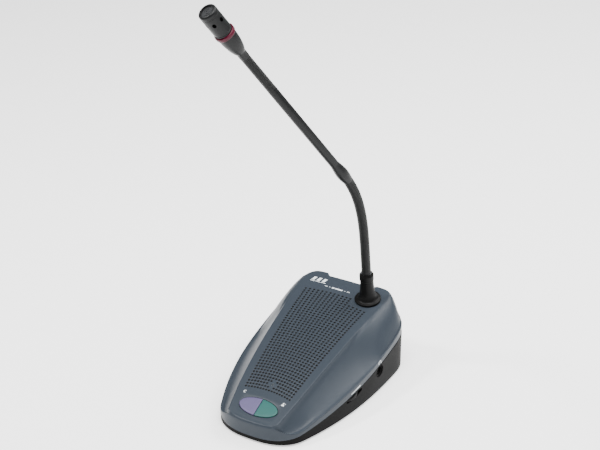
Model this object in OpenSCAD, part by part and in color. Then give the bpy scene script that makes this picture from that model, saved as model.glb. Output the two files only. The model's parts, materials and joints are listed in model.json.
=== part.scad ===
// Gooseneck podium microphone: a wedge-shaped desk base with a speaker, two touch buttons and
// side controls, and a two-stage gooseneck with a lit capsule head. Millimetres, +Z up. The
// origin is on the table under the middle of the base, and the front is towards -Y.

/* [Base] */
// Length of the base, front to back
base_len = 190; // [184:1:196]
// Greatest width of the base
base_w = 127.2; // [120:0.4:134]
// Height of the front crease above the table
front_h = 19.5; // [18.5:0.5:21]
// Height of the rear corners above the table
rear_h = 70.5; // [68:0.5:72]
// Radius of the arch of the top, seen from the side
arch_r = 622; // [580:2:700]
// Height of the parting line at the front
part_front_h = 5.5; // [4:0.5:6]
// Height of the parting line at the back
part_rear_h = 40; // [38:0.5:44]
// Wall of the two shells
wall = 2.4; // [2:0.1:2.6]
// Height of the rubber feet
foot_h = 1.5; // [1.5:0.5:2]
// Depth of the bay between the rear corners
bay_depth = 4; // [3:0.5:5]
// Width of the bay between the rear corners
bay_w = 48; // [40:1:52]

/* [Top panel] */
// Half width of the raised panel at the front
plateau_front = 25; // [24:0.5:27]
// Half width of the raised panel at the back
plateau_rear = 43; // [42:0.5:44]
// Depth of the flank beside the raised panel
flank_h = 5.5; // [4:0.5:6]

/* [Grille] */
// Rows of holes
grille_rows = 41; // [30:1:42]
// Columns of holes
grille_cols = 17; // [11:2:19]
// Distance between rows
row_pitch = 3.2; // [3:0.1:3.3]
// Radius of a hole
hole_r = 1.15; // [0.6:0.05:1.2]
// Half width of the grille at its front row
grille_front = 22.8; // [22:0.1:23.5]
// Half width of the grille at its back row
grille_rear = 34.5; // [33:0.1:35]
// Place of the front row
grille_y = -63; // [-63.5:0.5:-62]

/* [Buttons] */
// Half length of the button pair
button_a = 19.6; // [18:0.1:20]
// Half width of the button pair
button_b = 9.4; // [8.5:0.1:9.8]
// Place of the button pair
button_y = -79.2; // [-80:0.1:-79]
// Travel of a button
button_travel = 1; // [0.6:0.1:1.2]

/* [Side controls] */
// Radius of the volume wheel
wheel_r = 14; // [12:0.5:15]
// Radius of the bore of the headphone jack
jack_bore_r = 1.8; // [1.78:0.01:1.85]

/* [Neck] */
// Place of the neck across the base
neck_x = 28; // [26:0.5:28.5]
// Place of the neck along the base
neck_y = 73.3; // [72:0.1:75]
// Turn of the neck's bend away from straight ahead
neck_turn = -28.5; // [-40:0.1:40]
// Lean of the rigid tube against the neck's foot
neck_lean = 30.2; // [0:0.1:32]
// Outer radius of the lower flexible part
lower_r = 4.2; // [4.1:0.1:4.6]
// Length of one lower link
lower_pitch = 13.2; // [12:0.1:14]
// Radius of the rigid tube and of the upper flexible part
tube_r = 3.85; // [3.8:0.05:4.2]
// Length of the rigid part, from its joint to the next
tube_len = 139.8; // [120:0.1:160]
// Length of one upper link
upper_pitch = 10; // [9.5:0.1:11]

/* [Head] */
// Outer radius of the capsule housing
head_r = 7.95; // [7.7:0.05:8.5]
// Outer radius of the light ring
ring_r = 8.9; // [8.7:0.05:9.4]

/* [Hidden] */
$fn = 48;
eps = 0.05;

// Ends of the base, and the centre of the arch of its top
y_front = -base_len / 2;
y_rear = base_len / 2;
arch_chord = norm([base_len, rear_h - front_h]);
arch_rise = atan2(rear_h - front_h, base_len);
arch_h = sqrt(pow(arch_r, 2) - pow(arch_chord / 2, 2));
arch_y = arch_h * sin(arch_rise);
arch_z = (front_h + rear_h) / 2 - arch_h * cos(arch_rise);
part_tilt = atan2(part_rear_h - part_front_h, base_len);

// Plan of the base: sides that bow out to the widest place, and two superelliptic ends
widest_y = 50;
side_bow = 0.000313;
side_power = 2.3;
front_corner = 23;
front_power = 2.7;
rear_power = 5;
corner_steps = [6, 15, 30, 45, 60, 75, 90];
side_steps = 6;
lip_front_h = 9.8;
lip_rear_h = 51.2;
lip_dip = 3.2;
lip_blend = 9;

function panel_z(y) = arch_z + sqrt(pow(arch_r, 2) - pow(y - arch_y, 2));
function panel_tilt(y) = asin((arch_y - y) / arch_r);
function part_z(y) = part_front_h + tan(part_tilt) * (y - y_front);
function side_w(y) = base_w / 2 - side_bow * pow(abs(widest_y - y), side_power);
function share(y) = (y - y_front) / base_len;
function plateau_w(y) = plateau_front + (plateau_rear - plateau_front) * share(y) * (1.6 - 0.6 * share(y));
function ease(t) = let (u = min(1, max(0, t))) u * u * (3 - 2 * u);
function lip_z(y) =
    lip_front_h + (lip_rear_h - lip_front_h) * share(y) - lip_dip * ease((y + 45) / 95) * ease((98 - y) / 45);

// One half of the plan, from the front round to the back, set in by q and at the back by rear_q
function front_point(t, q) =
    let (y0 = y_front + q, yc = y_front + front_corner,
         y = yc - (yc - y0) * pow(cos(t), 2 / front_power))
    [(side_w(y) - q) * pow(sin(t), 2 / front_power), y];
function rear_point(t, q, rear_q) =
    let (y1 = y_rear - rear_q, y = widest_y + (y1 - widest_y) * pow(cos(t), 2 / rear_power))
    [(side_w(y) - q) * pow(sin(t), 2 / rear_power), y];
function side_point(i, q) =
    let (y0 = y_front + front_corner, y = y0 + (widest_y - y0) * i / side_steps)
    [side_w(y) - q, y];
function half_plan(q, rear_q) = concat(
    [for (t = corner_steps) front_point(t, q)],
    [for (i = [1 : side_steps]) side_point(i, q)],
    [for (i = [5 : -1 : 0]) rear_point(corner_steps[i], q, rear_q)]);
function plan(q, rear_q) =
    let (half = half_plan(q, rear_q), n = len(half))
    concat(half, [for (i = [n - 1 : -1 : 0]) [-half[i][0], half[i][1]]]);

// One cross-section of the cover at a point p of its plan, set in by q: the right half from
// the lower edge up over the lip, the scooped side and the flank to the raised panel
function section_half(p, q, foot) =
    let (a = min(p[0] - 1, plateau_w(p[1]) - 0.6 * q), d = p[0] - a,
         f = ease((d - 1) / lip_blend), zp = panel_z(p[1]) - 1.05 * q,
         lip = (zp - 1) * (1 - f) + (lip_z(p[1]) - q) * f,
         xf = a + min(2.5, 0.4 * d), zf = zp - flank_h * f - 0.3 * (1 - f))
    concat([[p[0], part_z(p[1]) - foot], [p[0], lip]],
           [for (s = [0.7, 0.4]) [xf + (p[0] - xf) * s, zf + (lip - zf) * (1 - pow(1 - s, 1.3))]],
           [[xf, zf], [a, zp]]);
function section(p, q, foot) =
    let (half = section_half(p, q, foot), n = len(half))
    [for (i = [0 : 2 * n - 1])
        i < n ? [half[i][0], p[1], half[i][1]] : [-half[2 * n - 1 - i][0], p[1], half[2 * n - 1 - i][1]]];

// A closed solid through those cross-sections
module cover_loft(q, rear_q, foot) {
    rings = [for (p = half_plan(q, rear_q)) section(p, q, foot)];
    n = len(rings[0]);
    last = len(rings) - 1;
    points = [for (ring = rings) for (p = ring) p];
    front_cap = [for (i = [n - 1 : -1 : 0]) i];
    rear_cap = [for (i = [0 : n - 1]) last * n + i];
    walls = [for (k = [0 : last - 1]) for (i = [0 : n - 1])
        let (a = k * n + i, b = k * n + (i + 1) % n, c = a + n, d = b + n)
        for (face = [[a, b, c], [b, d, c]]) face];
    polyhedron(points = points, faces = concat([front_cap, rear_cap], walls), convexity = 6);
}

// Everything above, or below, the tilted plane where the two shells meet
module above_parting(gap) {
    translate([0, y_front, part_front_h + gap]) rotate([part_tilt, 0, 0])
        translate([-base_w, -base_len, 0]) cube([2 * base_w, 3 * base_len, base_len]);
}

module below_parting(gap) {
    translate([0, y_front, part_front_h - gap]) rotate([part_tilt, 0, 0])
        translate([-base_w, -base_len, -base_len]) cube([2 * base_w, 3 * base_len, base_len]);
}

// A frame on the top's surface, with Z along the surface's normal
module on_panel(x, y) {
    translate([x, y, panel_z(y)]) rotate([panel_tilt(y), 0, 0]) children();
}

// The shell between two depths below the arch of the top
module arch_shell(top_depth, bottom_depth) {
    translate([-base_w / 2, arch_y, arch_z]) rotate([0, 90, 0]) difference() {
        cylinder(h = base_w, r = arch_r - top_depth, $fn = 96);
        translate([0, 0, -1]) cylinder(h = base_w + 2, r = arch_r - bottom_depth, $fn = 96);
    }
}

module rear_bay() {
    translate([-bay_w / 2, y_rear - bay_depth, -1]) cube([bay_w, 2 * bay_depth, 2 * rear_h]);
}

// --- Grille ---
grille_depth = (grille_rows - 1) * row_pitch;
row_bow = 2.2;
notch_rows = 3;
notch_col = 4;
led_y = -54;
led_field = 5.2;
window_margin = 2.2;

function grille_w(y) = grille_front + (grille_rear - grille_front) * (y - grille_y) / grille_depth;
function hole_place(row, col) =
    let (y = grille_y + row * row_pitch, c = 2 * col / (grille_cols - 1))
    [c * grille_w(y), y + row_bow * (1 - c * c)];
function hole_kept(row, col) =
    let (p = hole_place(row, col))
    !(row >= grille_rows - notch_rows && col >= notch_col) && abs(p[0]) + abs(p[1] - led_y) > led_field;

module grille_field(margin) {
    y0 = grille_y - margin;
    y1 = grille_y + grille_depth + row_bow + margin;
    x0 = grille_front + margin;
    x1 = grille_rear + margin;
    notch_y = y1 - notch_rows * row_pitch - 1;
    notch_x = grille_rear * notch_col * 2 / (grille_cols - 1) - 4.2 + margin;
    difference() {
        polygon([[-x0, y0], [x0, y0], [x1, y1], [-x1, y1]]);
        translate([notch_x, notch_y]) square([base_w, base_len]);
    }
}

module grille_plate() {
    half_cols = (grille_cols - 1) / 2;
    difference() {
        intersection() {
            arch_shell(0.4, 2);
            linear_extrude(2 * rear_h) grille_field(window_margin + 1);
        }
        for (row = [0 : grille_rows - 1]) for (col = [-half_cols : half_cols])
            if (hole_kept(row, col)) translate(hole_place(row, col)) cylinder(h = 2 * rear_h, r = hole_r);
        translate([0, led_y, 0]) cylinder(h = 2 * rear_h, r = led_tip_r + 0.1);
    }
}

// --- Buttons, in a frame on the top's surface ---
button_gap = 0.5;
split_gap = 0.6;
cap_proud = 0.6;
flange_top = -3;
flange_h = 0.9;
board_depth = 9;
board_t = 1.6;
switch_x = 9.5;
plunger_r = 1.7;
switch_h = 3.5;
led_tip_r = 0.9;
button_post_x = 23.5;

function ellipse(a, b, n = 48) = [for (i = [0 : n - 1]) [a * cos(360 * i / n), b * sin(360 * i / n)]];

module at_buttons() {
    on_panel(0, button_y) children();
}

module button_half(side) {
    colour_side = side > 0 ? split_gap / 2 : -2 * button_a - split_gap / 2;
    at_buttons() intersection() {
        union() {
            translate([0, 0, flange_top]) linear_extrude(cap_proud - flange_top)
                polygon(ellipse(button_a - button_gap, button_b - button_gap));
            translate([0, 0, flange_top - flange_h]) linear_extrude(flange_h)
                polygon(ellipse(button_a + 1, button_b + 1));
        }
        translate([colour_side, -button_a, -10]) cube([2 * button_a, 2 * button_a, 20]);
    }
}

module button_posts() {
    at_buttons() for (x = [-button_post_x, button_post_x]) translate([x, -1, -board_depth])
        cylinder(h = board_depth - 1.5, r = 1.8);
}

module button_plunger(side) {
    top = flange_top - flange_h;
    at_buttons() translate([side * switch_x, 0, -board_depth + switch_h - 0.2])
        cylinder(h = top + board_depth - switch_h + 0.2, r = plunger_r);
}

module button_switch(side) {
    well = button_travel + 0.5;
    at_buttons() translate([side * switch_x, 0, -board_depth]) difference() {
        translate([-3, -3, 0]) cube([6, 6, switch_h]);
        translate([0, 0, switch_h - well]) cylinder(h = well + 1, r = plunger_r + 0.15);
    }
}

// --- Speaker, in a frame on the top's surface ---
speaker_y = 10;
speaker_r = 25;
speaker_drop = 4;
post_x = 33;
post_y = 12;

module at_speaker() {
    on_panel(0, speaker_y) translate([0, 0, -speaker_drop]) children();
}

module speaker_posts() {
    at_speaker() for (x = [-post_x, post_x], y = [-post_y, post_y]) translate([x, y, 0])
        cylinder(h = speaker_drop - 1.6, r = 3);
}

module speaker_post_holes() {
    at_speaker() for (x = [-post_x, post_x], y = [-post_y, post_y]) translate([x, y, -1])
        cylinder(h = speaker_drop, r = 0.9);
}

// --- Case bosses and screws ---
boss_places = [[-29, -68], [29, -68], [-50, 60], [50, 60]];
boss_r = 4.6;
screw_seat = 4;
screw_r = 1.4;

module cover_bosses() {
    intersection() {
        for (p = boss_places) translate([p[0], p[1], part_z(p[1]) + eps])
            cylinder(h = rear_h, r = boss_r);
        cover_loft(wall / 2, wall + bay_depth / 2, 0);
        above_parting(0.4);
    }
}

// --- Neck frame ---
first_joint_h = 33;
ball_gap = 0.1;
mouth = 0.35;
shoulder = 2;
links = 8;
head_links = 4;
stub_r = 5;
stub_drop = 14;

function link_lean(i) = neck_lean * pow(max(0, i - 2) / (links - 1), 2);
function neck_joint(i) = i == 0 ? [0, 0, first_joint_h]
    : neck_joint(i - 1) + lower_pitch * [0, -sin(link_lean(i)), cos(link_lean(i))];

module at_neck() {
    on_panel(neck_x, neck_y) rotate([0, 0, neck_turn]) children();
}

module at_link(i) {
    at_neck() translate(neck_joint(i - 1)) rotate([link_lean(i), 0, 0]) children();
}

module at_tube() {
    at_link(links + 1) children();
}

module at_head_link(j) {
    at_tube() translate([0, 0, tube_len + (j - 1) * upper_pitch]) children();
}

module at_head() {
    at_head_link(head_links + 1) children();
}

// A link of a flexible part: a cup below that fits over the ball of the link before it
module vertebra(r, pitch, ball_r, bore_r) {
    difference() {
        union() {
            translate([0, 0, -mouth]) cylinder(h = pitch - shoulder + mouth, r = r);
            translate([0, 0, pitch]) sphere(r = ball_r);
        }
        sphere(r = ball_r + ball_gap);
        translate([0, 0, -pitch]) cylinder(h = 3 * pitch, r = bore_r);
    }
}

lower_ball_r = 3.4;
lower_bore_r = 1.6;
upper_ball_r = 3.1;
upper_bore_r = 1.3;

module lower_link(i) {
    at_link(i) vertebra(lower_r, lower_pitch, lower_ball_r, lower_bore_r);
}

module upper_link(j) {
    at_head_link(j) vertebra(tube_r, upper_pitch, upper_ball_r, upper_bore_r);
}

// --- Shells ---
module top_cover() {
    color([0.38, 0.42, 0.46]) difference() {
        union() {
            difference() {
                cover_loft(0, 0, 0);
                cover_loft(wall, wall + bay_depth, 2);
                linear_extrude(2 * rear_h) grille_field(window_margin);
            }
            grille_plate();
            speaker_posts();
            button_posts();
            cover_bosses();
        }
        at_buttons() translate([0, 0, -6]) linear_extrude(12) polygon(ellipse(button_a, button_b));
        at_neck() translate([0, 0, -20]) cylinder(h = 40, r = stub_r + 0.1);
        speaker_post_holes();
        at_buttons() for (x = [-button_post_x, button_post_x]) translate([x, -1, -board_depth - 1])
            cylinder(h = 6, r = 0.9);
        for (p = boss_places) translate([p[0], p[1], 0]) cylinder(h = part_z(p[1]) + 10, r = screw_r);
        rear_bay();
        below_parting(-eps);
    }
}

wheel_y = -10;
wheel_drop = 3;
wheel_t = 3.2;
wheel_proud = 1;
wheel_x = side_w(wheel_y) + wheel_proud - wheel_r;
slot_len = 23;
slot_h = 4.4;
jack_y = 32;
jack_z = 22.4;
jack_hole_r = 5.3;
socket_x = 12;
socket_w = 16;
socket_d = 18;
socket_h = 13.5;
socket_mouth = [11.8, 8.4];
board_z = 8;
board_y0 = 22;
board_y1 = 82;
board_half_w = 48;
tray_floor = foot_h + wall;
board_bosses = [[-42, 28], [42, 28], [-30, 77], [30, 77]];

module at_wheel() {
    translate([wheel_x, wheel_y, part_z(wheel_y) - wheel_drop]) rotate([part_tilt, 0, 0]) children();
}

module at_jack() {
    translate([side_w(jack_y), jack_y, jack_z]) rotate([0, 90, 0]) children();
}

module socket_mouth_block(x, depth) {
    translate([x - socket_mouth[0] / 2, y_rear - bay_depth - depth, board_z + board_t + 2])
        cube([socket_mouth[0], depth + 20, socket_mouth[1]]);
}

module bottom_tray() {
    color([0.2, 0.2, 0.2]) difference() {
        union() {
            intersection() {
                difference() {
                    union() {
                        hull() {
                            translate([0, 0, foot_h]) linear_extrude(0.1) polygon(plan(0.6, 0.6));
                            translate([0, 0, foot_h + 0.6]) linear_extrude(0.1) polygon(plan(0, 0));
                        }
                        translate([0, 0, foot_h + 0.65]) linear_extrude(rear_h) polygon(plan(0, 0));
                    }
                    translate([0, 0, tray_floor]) linear_extrude(rear_h) polygon(plan(wall, wall + bay_depth));
                }
                below_parting(eps);
            }
            intersection() {
                for (p = boss_places) translate([p[0], p[1], foot_h]) cylinder(h = rear_h, r = boss_r);
                below_parting(eps);
            }
            for (p = board_bosses) translate([p[0], p[1], tray_floor - 0.5])
                cylinder(h = board_z - tray_floor + 0.5, r = 3);
            intersection() {
                at_wheel() for (y = [-6.5, 6.5]) translate([3, y, -18]) cylinder(h = 6.95, r = 2);
                translate([0, -base_len / 2, foot_h + 0.5]) cube([base_w, base_len, rear_h]);
            }
        }
        for (p = boss_places) translate([p[0], p[1], 0]) {
            cylinder(h = part_z(p[1]) - screw_seat, r = 3.2);
            cylinder(h = rear_h, r = screw_r + 0.15);
        }
        for (p = board_bosses) translate([p[0], p[1], foot_h + 1]) cylinder(h = board_z, r = 0.9);
        at_wheel() translate([0, -slot_len / 2, -slot_h / 2]) cube([2 * wheel_r, slot_len, slot_h]);
        at_jack() translate([0, 0, -10]) cylinder(h = 20, r = jack_hole_r);
        for (x = [-socket_x, socket_x]) socket_mouth_block(x, wall + 1);
        rear_bay();
    }
}

module ballast_plate() {
    color([0.6, 0.6, 0.62]) translate([0, 0, tray_floor]) linear_extrude(3) difference() {
        polygon([[-26, -60], [26, -60], [36, -10], [36, 18], [-36, 18], [-36, -10]]);
        for (x = [-30, 30]) translate([x, 8]) circle(r = 2);
    }
}

foot_places = [[-20, -80], [20, -80], [-50, 74], [50, 74]];

module rubber_feet() {
    color([0.1, 0.1, 0.1]) for (p = foot_places) translate([p[0], p[1], 0]) {
        cylinder(h = foot_h - 0.4, r = 5.5);
        translate([0, 0, foot_h - 0.4]) cylinder(h = 0.4, r = 5);
    }
}

module case_screws() {
    color([0.75, 0.75, 0.75]) for (p = boss_places) translate([p[0], p[1], part_z(p[1]) - screw_seat]) {
        difference() {
            translate([0, 0, -2]) cylinder(h = 2, r = 2.9);
            translate([-0.4, -2, -2.1]) cube([0.8, 4, 0.8]);
            translate([-2, -0.4, -2.1]) cube([4, 0.8, 0.8]);
        }
        cylinder(h = 12, r = screw_r - 0.02);
    }
}

// --- Speaker ---
module speaker_basket() {
    color([0.25, 0.25, 0.27]) at_speaker() difference() {
        union() {
            translate([0, 0, -1.2]) cylinder(h = 1.2, r = speaker_r);
            for (x = [-post_x, post_x], y = [-post_y, post_y]) hull() {
                translate([x, y, -1.2]) cylinder(h = 1.2, r = 3, $fn = 24);
                translate([x * 0.62, y * 0.8, -1.2]) cylinder(h = 1.2, r = 3, $fn = 24);
            }
            translate([0, 0, -9]) cylinder(h = 8, r1 = 14, r2 = 22.4);
            translate([0, 0, -10.5]) cylinder(h = 2, r = 14);
        }
        translate([0, 0, -7.8]) cylinder(h = 8, r1 = 13.2, r2 = 22.2);
        for (x = [-post_x, post_x], y = [-post_y, post_y]) translate([x, y, -3]) cylinder(h = 4, r = 1.1);
        for (a = [0 : 90 : 270]) rotate([0, 0, a + 45]) translate([13, -4, -7.4]) cube([9, 8, 4.4]);
        translate([0, 0, -12]) cylinder(h = 12, r = 7);
    }
}

module speaker_magnet() {
    color([0.35, 0.35, 0.36]) at_speaker() {
        translate([0, 0, -17]) cylinder(h = 6.4, r = 16);
        translate([0, 0, -11]) cylinder(h = 5, r = 5.5);
    }
}

module speaker_cone() {
    color([0.12, 0.12, 0.13]) at_speaker() {
        difference() {
            translate([0, 0, -6]) cylinder(h = 6, r1 = 8, r2 = 20);
            translate([0, 0, -5.6]) cylinder(h = 5.7, r1 = 7.8, r2 = 19.8);
            translate([0, 0, -7]) cylinder(h = 3, r = 6.1);
        }
        translate([0, 0, -7.2]) difference() {
            cylinder(h = 2.4, r = 6.6);
            translate([0, 0, -1]) cylinder(h = 5, r = 6.1);
        }
        intersection() {
            translate([0, 0, -9.5]) difference() {
                sphere(r = 9);
                sphere(r = 8.6);
            }
            translate([0, 0, -4.9]) cylinder(h = 6, r = 7.5);
        }
    }
}

module speaker_surround() {
    color([0.08, 0.08, 0.08]) at_speaker() rotate_extrude() {
        translate([20.02, 0.05]) square([3.9, 0.3]);
        translate([21.3, 0.05]) difference() {
            circle(r = 0.9);
            translate([-3, -4]) square([6, 4]);
        }
    }
}

module speaker_screws() {
    color([0.75, 0.75, 0.75]) at_speaker()
        for (x = [-post_x, post_x], y = [-post_y, post_y]) translate([x, y, 0]) {
            translate([0, 0, -2.4]) cylinder(h = 1.2, r = 2);
            translate([0, 0, -1.3]) cylinder(h = 3, r = 0.88);
        }
}

module grille_cloth() {
    color([0.05, 0.05, 0.05]) difference() {
        intersection() {
            arch_shell(2.02, 2.3);
            linear_extrude(2 * rear_h) grille_field(0.8);
        }
        speaker_posts();
        translate([0, led_y, 0]) cylinder(h = 2 * rear_h, r = 2.4);
    }
}

// --- Boards ---
module main_board() {
    color([0.1, 0.35, 0.2]) translate([0, 0, board_z]) difference() {
        translate([-board_half_w, board_y0, 0]) cube([2 * board_half_w, board_y1 - board_y0, board_t]);
        for (p = board_bosses) translate([p[0], p[1], -1]) cylinder(h = 4, r = 1.1);
        for (x = [-50, 50]) translate([x, 60, -1]) cylinder(h = 4, r = boss_r + 0.6);
    }
}

module main_board_parts() {
    top = board_z + board_t;
    color([0.15, 0.15, 0.16]) translate([0, 0, top]) {
        translate([-8, 36, 0]) cube([14, 14, 1.6]);
        translate([14, 34, 0]) cube([6, 10, 1.5]);
        translate([-28, 40, 0]) cube([9, 9, 1.2]);
        for (x = [-36, -24, -12]) translate([x, 58, 0]) cylinder(h = 9, r = 3.5);
        for (i = [0 : 4]) translate([12 + 4 * i, 54, 0]) cube([1.6, 3.2, 0.9]);
        translate([-40, 46, 0]) cube([5, 10, 6]);
        translate([24, 24, 0]) cube([12, 5, 6]);
    }
}

module board_screws() {
    color([0.75, 0.75, 0.75]) for (p = board_bosses) translate([p[0], p[1], 0]) {
        translate([0, 0, board_z + board_t]) cylinder(h = 1.6, r = 2.2);
        translate([0, 0, board_z - 3]) cylinder(h = 5, r = 0.88);
    }
    color([0.75, 0.75, 0.75]) at_buttons() for (x = [-button_post_x, button_post_x])
        translate([x, -1, -board_depth - board_t]) {
            translate([0, 0, -1.6]) cylinder(h = 1.6, r = 2.2);
            translate([0, 0, -0.4]) cylinder(h = 5, r = 0.88);
        }
}

module button_board() {
    color([0.1, 0.35, 0.2]) at_buttons() translate([0, 0, -board_depth - board_t]) difference() {
        union() {
            translate([-15.5, -6, 0]) cube([31, 36, board_t]);
            translate([-26, -6, 0]) cube([52, 9, board_t]);
        }
        for (x = [-button_post_x, button_post_x]) translate([x, -1, -1]) cylinder(h = board_t + 2, r = 1.1);
    }
}

module talk_switch() {
    color([0.6, 0.6, 0.6]) button_switch(1);
}

module priority_switch() {
    color([0.6, 0.6, 0.6]) button_switch(-1);
}

module talk_plunger() {
    color([0.9, 0.9, 0.88]) button_plunger(1);
}

module priority_plunger() {
    color([0.9, 0.9, 0.88]) button_plunger(-1);
}

module talk_button() {
    color([0.35, 0.55, 0.52]) button_half(1);
}

module priority_button() {
    color([0.53, 0.5, 0.6]) button_half(-1);
}

module status_led() {
    led_local = (led_y - button_y) / cos(panel_tilt(led_y));
    color([0.8, 0.3, 0.3]) at_buttons() translate([0, led_local - 0.6, -board_depth]) {
        cylinder(h = board_depth - 4.2, r = 1.5);
        rotate([panel_tilt(led_y) - panel_tilt(button_y), 0, 0]) cylinder(h = board_depth - 1, r = 0.75);
    }
}

// --- Volume control ---
module volume_board() {
    color([0.1, 0.35, 0.2]) at_wheel() translate([-8, -9, -11]) cube([16, 18, board_t]);
}

module volume_pot() {
    color([0.55, 0.55, 0.57]) at_wheel() difference() {
        translate([-5.5, -5.5, -11 + board_t]) cube([11, 11, 6.4]);
        translate([0, 0, -6]) cylinder(h = 8, r = 3.05);
    }
}

module volume_shaft() {
    color([0.8, 0.8, 0.82]) at_wheel() translate([0, 0, -5.5]) cylinder(h = 6, r = 3);
}

module volume_wheel() {
    teeth = 60;
    color([0.13, 0.13, 0.14]) at_wheel() difference() {
        translate([0, 0, -wheel_t / 2]) linear_extrude(wheel_t) polygon([for (i = [0 : 2 * teeth - 1])
            let (r = i % 2 == 0 ? wheel_r : wheel_r - 0.5) [r * cos(180 * i / teeth), r * sin(180 * i / teeth)]]);
        translate([0, 0, -wheel_t]) cylinder(h = wheel_t + 0.5, r = 3.02);
    }
}

// --- Sockets ---
module headphone_jack() {
    color([0.16, 0.16, 0.16]) difference() {
        union() {
            at_jack() translate([0, 0, -19]) cylinder(h = 14.5, r = 4);
            translate([side_w(jack_y) - 18.5, jack_y - 6, board_z + board_t]) cube([12.5, 12, jack_z - board_z + 3]);
        }
        at_jack() translate([0, 0, -18]) cylinder(h = 20, r = jack_bore_r);
    }
}

module jack_collar() {
    color([0.5, 0.5, 0.52]) at_jack() difference() {
        union() {
            translate([0, 0, -5.5]) cylinder(h = 4.8, r = jack_hole_r - 0.1);
            translate([0, 0, -5.9]) cylinder(h = 0.4, r = 4.6);
        }
        translate([0, 0, -6]) cylinder(h = 8, r = 4.02);
        translate([0, 0, -2.4]) cylinder(h = 8, r = 4.5);
    }
}

module link_socket(x) {
    difference() {
        translate([x - socket_w / 2, y_rear - bay_depth - wall - socket_d - 0.3, board_z + board_t])
            cube([socket_w, socket_d, socket_h]);
        socket_mouth_block(x, wall + 14);
        translate([x - 3, y_rear - bay_depth - wall - 14, board_z + board_t + 2 + socket_mouth[1] - 1])
            cube([6, 20, 3]);
    }
}

module link_socket_in() {
    color([0.2, 0.2, 0.21]) link_socket(-socket_x);
}

module link_socket_out() {
    color([0.2, 0.2, 0.21]) link_socket(socket_x);
}

// --- Foot of the neck ---
boot_h = 31;
boot_base_r = 12.2;
collar_r = 6.2;

module neck_boot() {
    color([0.1, 0.1, 0.1]) at_neck() rotate_extrude() difference() {
        union() {
            polygon(concat([[0, 0], [boot_base_r, 0], [boot_base_r, 1.4]],
                [for (t = [0 : 15 : 90]) [collar_r + 0.7 + 4.6 * (1 - sin(t)), 1.6 + 10 * (1 - cos(t))]],
                [[collar_r, 24], [0, 24]]));
            polygon([[0, 23], [collar_r, 23], [collar_r + 0.4, 24], [collar_r + 0.4, 29.4],
                [collar_r - 0.9, boot_h], [0, boot_h]]);
        }
        square([stub_r + 0.02, 2 * boot_h]);
    }
}

module neck_stub() {
    color([0.55, 0.55, 0.57]) at_neck() difference() {
        union() {
            translate([0, 0, -stub_drop]) cylinder(h = stub_drop + boot_h - 0.5, r = stub_r);
            translate([0, 0, first_joint_h]) sphere(r = lower_ball_r);
        }
        translate([0, 0, -stub_drop - 1]) cylinder(h = 80, r = lower_bore_r);
    }
}

washer_top = -2.85;

module neck_washer() {
    color([0.7, 0.7, 0.72]) at_neck() translate([0, 0, washer_top - 1.5]) difference() {
        cylinder(h = 1.5, r = 9);
        translate([0, 0, -1]) cylinder(h = 4, r = stub_r + 0.1);
    }
}

module neck_nut() {
    color([0.7, 0.7, 0.72]) at_neck() translate([0, 0, washer_top - 6.5]) difference() {
        cylinder(h = 5, r = 8.6, $fn = 6);
        translate([0, 0, -1]) cylinder(h = 8, r = stub_r + 0.02);
    }
}

// --- Lower flexible part ---
link_colour = [0.22, 0.22, 0.23];

module neck_link_1() {
    color(link_colour) lower_link(1);
}

module neck_link_2() {
    color(link_colour) lower_link(2);
}

module neck_link_3() {
    color(link_colour) lower_link(3);
}

module neck_link_4() {
    color(link_colour) lower_link(4);
}

module neck_link_5() {
    color(link_colour) lower_link(5);
}

module neck_link_6() {
    color(link_colour) lower_link(6);
}

module neck_link_7() {
    color(link_colour) lower_link(7);
}

module neck_link_8() {
    color(link_colour) lower_link(8);
}

// --- Rigid part ---
coupler_len = 27;
coupler_r = 5.6;

module neck_coupler() {
    color([0.13, 0.13, 0.13]) at_tube() difference() {
        rotate_extrude() polygon(concat([[0, -mouth], [lower_r, -mouth]],
            [for (t = [0 : 15 : 180]) [lower_r + 0.2 + (coupler_r - lower_r - 0.2) * sin(t),
                3 + (coupler_len - 4) * (1 - cos(t)) / 2]],
            [[lower_r, coupler_len], [0, coupler_len]]));
        sphere(r = lower_ball_r + ball_gap);
        translate([0, 0, -5]) cylinder(h = 40, r = lower_bore_r);
        translate([0, 0, 10]) cylinder(h = 40, r = tube_r + 0.02);
    }
}

module neck_tube() {
    color([0.16, 0.16, 0.17]) at_tube() difference() {
        union() {
            translate([0, 0, 10]) cylinder(h = tube_len - shoulder - 10, r = tube_r);
            translate([0, 0, tube_len]) sphere(r = upper_ball_r);
        }
        translate([0, 0, 0]) cylinder(h = tube_len - 12, r = tube_r - 0.8);
        cylinder(h = tube_len + 10, r = upper_bore_r);
    }
}

module tube_lead() {
    color([0.3, 0.1, 0.1]) at_tube() translate([0, 0, 11]) cylinder(h = tube_len - 24, r = 1.2);
}

module head_link_1() {
    color(link_colour) upper_link(1);
}

module head_link_2() {
    color(link_colour) upper_link(2);
}

module head_link_3() {
    color(link_colour) upper_link(3);
}

module head_link_4() {
    color(link_colour) upper_link(4);
}

// --- Head ---
cone_start = 8;
ring_z = 30;
ring_h = 3.6;
house_z = ring_z + ring_h;
head_end = 59;

module head_cone() {
    color([0.15, 0.15, 0.15]) at_head() difference() {
        rotate_extrude() polygon(concat([[0, -mouth], [tube_r, -mouth], [tube_r, cone_start]],
            [for (t = [0 : 15 : 90]) [tube_r + 0.6 + (head_r - tube_r - 0.3) * sin(t),
                cone_start + (ring_z - cone_start) * (1 - cos(t)) * 0.5 + (ring_z - cone_start) * t / 180]],
            [[0, ring_z]]));
        sphere(r = upper_ball_r + ball_gap);
        translate([0, 0, -5]) cylinder(h = 40, r = upper_bore_r);
        translate([0, 0, 20]) cylinder(h = 20, r = 6.4);
    }
}

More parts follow.
